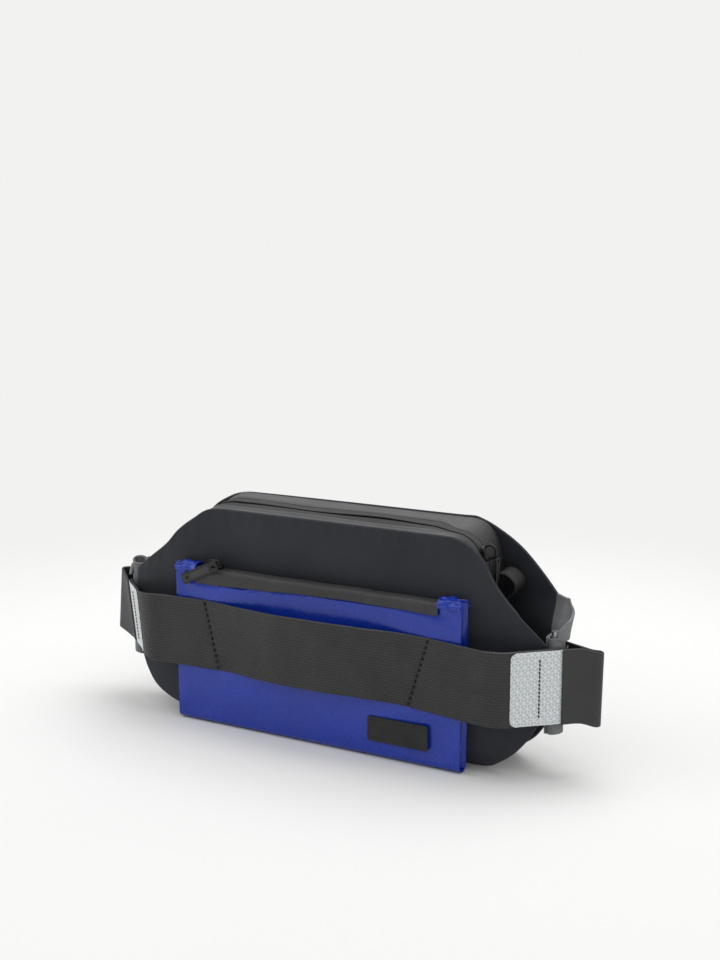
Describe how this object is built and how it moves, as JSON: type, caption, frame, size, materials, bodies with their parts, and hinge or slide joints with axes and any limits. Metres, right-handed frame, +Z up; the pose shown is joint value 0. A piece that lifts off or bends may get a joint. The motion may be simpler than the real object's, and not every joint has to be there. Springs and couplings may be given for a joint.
{
  "type": "hip bag",
  "caption": "Hip bag with flared wings, a zipped top, a flat zipped tarpaulin pouch behind a wide front webbing, and a waist belt with a side-release buckle.",
  "frame": {"origin": "centre of the base panel's underside, on the surface that the bag stands on", "axes": "+X along the bag's width to the viewer's right, the front with the pouch faces -Y, +Z up"},
  "size_m": [0.393, 0.0971, 0.163],
  "materials": {
    "shell_fabric": "matte laminated charcoal fabric",
    "gusset_fabric": "smooth matte charcoal fabric",
    "spacer_foam": "black spacer foam",
    "zip_tape": "black zip tape",
    "zip_coil": "black moulded coil",
    "loop_webbing": "black ribbon",
    "rod_metal": "drawn rod",
    "ribbed_webbing": "black ribbed webbing",
    "smooth_webbing": "charcoal smooth webbing",
    "reflector": "silver prismatic reflective film",
    "tarpaulin": "glossy blue coated tarpaulin",
    "zip_rubber": "matte black rubberised tape",
    "label_rubber": "matte black rubber",
    "black_metal": "matte black lacquer",
    "buckle_nylon": "black moulded nylon"
  },
  "bodies": {
    "bag": {"front_panel": "shell_fabric", "back_panel": "shell_fabric", "base_panel": "gusset_fabric", "back_pad": "spacer_foam", "gusset_front_strip": "gusset_fabric", "gusset_rear_strip": "gusset_fabric", "main_zip_tape_front": "zip_tape", "main_zip_tape_rear": "zip_tape", "main_zip_coil": "zip_coil", "end_gusset_right": "gusset_fabric", "end_gusset_left": "gusset_fabric", "zip_pull_loop_right": "loop_webbing", "zip_pull_loop_left": "loop_webbing", "end_sleeve_right": "shell_fabric", "end_sleeve_left": "shell_fabric", "end_rod_right": "rod_metal", "end_rod_left": "rod_metal", "front_webbing": "ribbed_webbing", "reflective_patch_right": "reflector", "reflective_patch_left": "reflector", "pouch_shell": "tarpaulin", "pouch_gusset_right": "tarpaulin", "pouch_gusset_left": "tarpaulin", "pouch_zip_strip_front": "zip_rubber", "pouch_zip_strip_rear": "zip_rubber", "pouch_zip_coil": "zip_coil", "pouch_label": "label_rubber"},
    "pouch_zip_slider": {"pouch_zip_slider": "black_metal", "pouch_zip_bail": "black_metal"},
    "pouch_zip_puller": {"pouch_zip_puller": "black_metal"},
    "main_zip_slider": {"main_zip_slider": "black_metal", "main_zip_bail": "black_metal"},
    "main_zip_puller": {"main_zip_puller": "black_metal"},
    "belt_right": {"belt_right": "smooth_webbing"},
    "belt_left": {"belt_left": "smooth_webbing", "buckle_female": "buckle_nylon"},
    "buckle_male": {"buckle_male": "buckle_nylon"}
  },
  "joints": [
    {"name": "pouch_zip_slide", "type": "slide", "parent": "bag", "child": "pouch_zip_slider", "axis": [1, 0, 0], "range_m": [0, 0.168]},
    {"name": "pouch_puller_hinge", "type": "hinge", "parent": "pouch_zip_slider", "child": "pouch_zip_puller", "pos_m": [-0.076, -0.0484, 0.1208], "axis": [-0.4258, 0, 0.9048], "range_deg": [0, 150]},
    {"name": "main_zip_corner", "type": "hinge", "parent": "bag", "child": "main_zip_slider", "pos_m": [0.095, -0.017, 0.135], "axis": [0, 1, 0], "range_deg": [-50, 10]},
    {"name": "main_puller_hinge", "type": "hinge", "parent": "main_zip_slider", "child": "main_zip_puller", "pos_m": [0.12681, -0.017, 0.14325], "axis": [0, -1, 0], "range_deg": [0, 120]},
    {"name": "belt_right_swing", "type": "hinge", "parent": "bag", "child": "belt_right", "pos_m": [0.17659, -0.02291, 0.068], "axis": [0, 0, -1], "range_deg": [0, 100]},
    {"name": "belt_left_swing", "type": "hinge", "parent": "bag", "child": "belt_left", "pos_m": [-0.17659, -0.02291, 0.068], "axis": [0, 0, 1], "range_deg": [0, 100]},
    {"name": "buckle_insert", "type": "slide", "parent": "belt_right", "child": "buckle_male", "axis": [-1, 0, 0], "range_m": [0, 0.028]}
  ]
}
